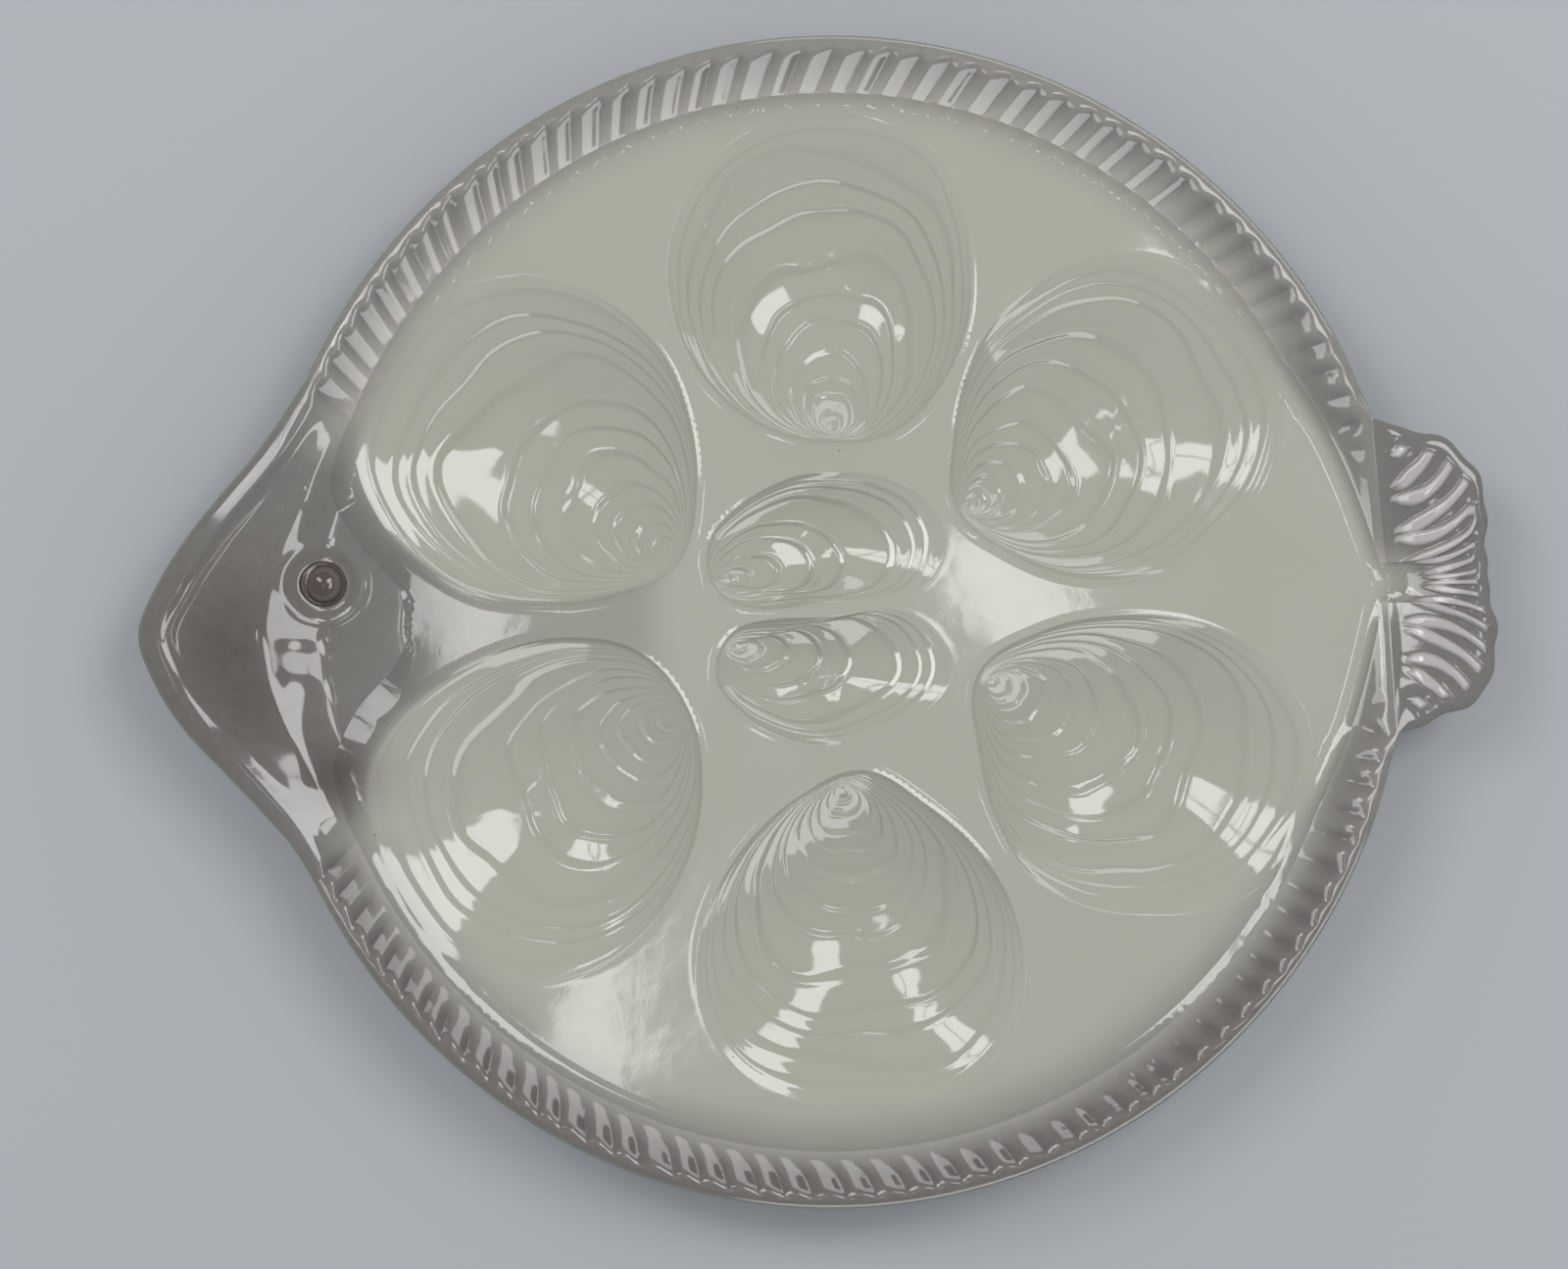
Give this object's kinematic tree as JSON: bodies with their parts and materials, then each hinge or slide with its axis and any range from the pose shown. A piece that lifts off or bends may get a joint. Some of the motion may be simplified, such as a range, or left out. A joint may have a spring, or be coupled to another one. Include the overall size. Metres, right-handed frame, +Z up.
{
  "type": "oyster plate",
  "caption": "Flatfish-shaped glazed earthenware oyster plate with shell-shaped wells, centre dips, ribbed fin rims, head and tail.",
  "frame": {"origin": "on the table, below the middle of the plate's length and width", "axes": "+Z up out of the wells, +X from the head towards the tail, +Y across the plate towards the upper fin rim"},
  "size_m": [0.278, 0.24, 0.0265],
  "materials": {
    "cream_glaze": "gloss",
    "fin_glaze": "gloss",
    "head_glaze": "gloss",
    "eye_glaze": "gloss"
  },
  "bodies": {
    "root": {"field": "cream_glaze", "well_upper_head": "cream_glaze", "well_upper_middle": "cream_glaze", "well_upper_tail": "cream_glaze", "well_lower_head": "cream_glaze", "well_lower_middle": "cream_glaze", "well_lower_tail": "cream_glaze", "dip_upper": "cream_glaze", "dip_lower": "cream_glaze", "upper_fin_rim": "fin_glaze", "lower_fin_rim": "fin_glaze", "head": "head_glaze", "eye": "eye_glaze", "tail_fin": "fin_glaze", "foot_ring": "cream_glaze"}
  },
  "joints": []
}
